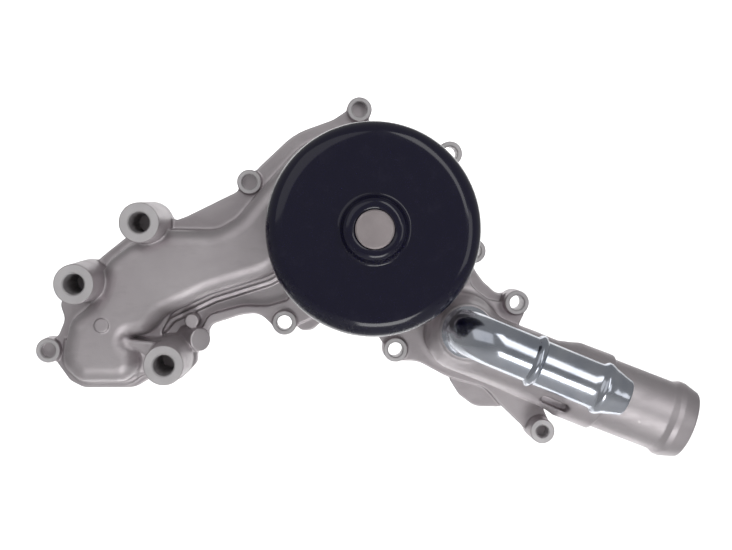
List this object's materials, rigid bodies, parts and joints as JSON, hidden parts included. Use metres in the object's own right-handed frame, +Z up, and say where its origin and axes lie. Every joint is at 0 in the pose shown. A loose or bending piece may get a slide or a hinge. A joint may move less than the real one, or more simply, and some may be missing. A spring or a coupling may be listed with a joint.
{
  "type": "water pump",
  "caption": "Engine coolant pump: cast body with water channel and hose inlet, smooth belt pulley on a bearing shaft, impeller, shaft seal and bent return tube.",
  "frame": {"origin": "where the shaft's axis meets the engine-side mounting face, which is the gasket's rear face", "axes": "+Y out of the mounting face towards the engine, along the shaft; the pulley is on the -Y side; +X to the right and +Z up for a person looking at the pulley"},
  "size_m": [0.3156, 0.084, 0.1722],
  "materials": {
    "cast_aluminium": "satin blasted die casting",
    "gasket_steel": "dark coated sheet",
    "seal_rubber": "matt moulded rubber",
    "bright_tube": "bright plated steel",
    "ground_steel": "ground and turned steel",
    "pulley_black": "gloss black enamel",
    "bearing_steel": "polished bearing steel",
    "impeller_plastic": "glass-filled moulding",
    "cage_plastic": "moulded nylon",
    "seal_metal": "pressed sheet",
    "carbon": "lapped carbon",
    "ceramic": "lapped silicon carbide",
    "spring_steel": "drawn wire"
  },
  "bodies": {
    "pump_body": {"bearing_outer_ring": "bearing_steel", "bearing_seal_front": "seal_rubber", "bearing_seal_rear": "seal_rubber", "gasket_bead_main": "seal_rubber", "gasket_bead_port": "seal_rubber", "gasket_carrier": "gasket_steel", "heater_return_tube": "bright_tube", "housing": "cast_aluminium", "seal_bellows": "seal_rubber", "seal_carbon_ring": "carbon", "seal_case": "seal_metal", "seal_spring": "spring_steel", "tube_sealing_ring": "seal_rubber"},
    "rotor": {"pump_shaft": "ground_steel", "belt_pulley": "pulley_black", "pulley_hub": "ground_steel", "impeller": "impeller_plastic", "impeller_bush": "ground_steel", "shaft_slinger": "cage_plastic", "seal_mating_ring": "ceramic", "mating_ring_cup": "seal_rubber"},
    "ball_row": {"bearing_balls": "bearing_steel", "ball_cage": "cage_plastic"},
    "roller_row": {"bearing_rollers": "bearing_steel", "roller_cage": "cage_plastic"}
  },
  "joints": [
    {"name": "shaft_spin", "type": "hinge", "parent": "pump_body", "child": "rotor", "pos_m": [0, 0, 0], "axis": [0, -1, 0], "continuous": true},
    {"name": "ball_row_spin", "type": "hinge", "parent": "pump_body", "child": "ball_row", "pos_m": [0, 0, 0], "axis": [0, -1, 0], "continuous": true},
    {"name": "roller_row_spin", "type": "hinge", "parent": "pump_body", "child": "roller_row", "pos_m": [0, 0, 0], "axis": [0, -1, 0], "continuous": true}
  ],
  "couplings": [
    {"joint": "ball_row_spin", "follows": "shaft_spin", "ratio": 0.35292},
    {"joint": "roller_row_spin", "follows": "shaft_spin", "ratio": 0.36458}
  ]
}
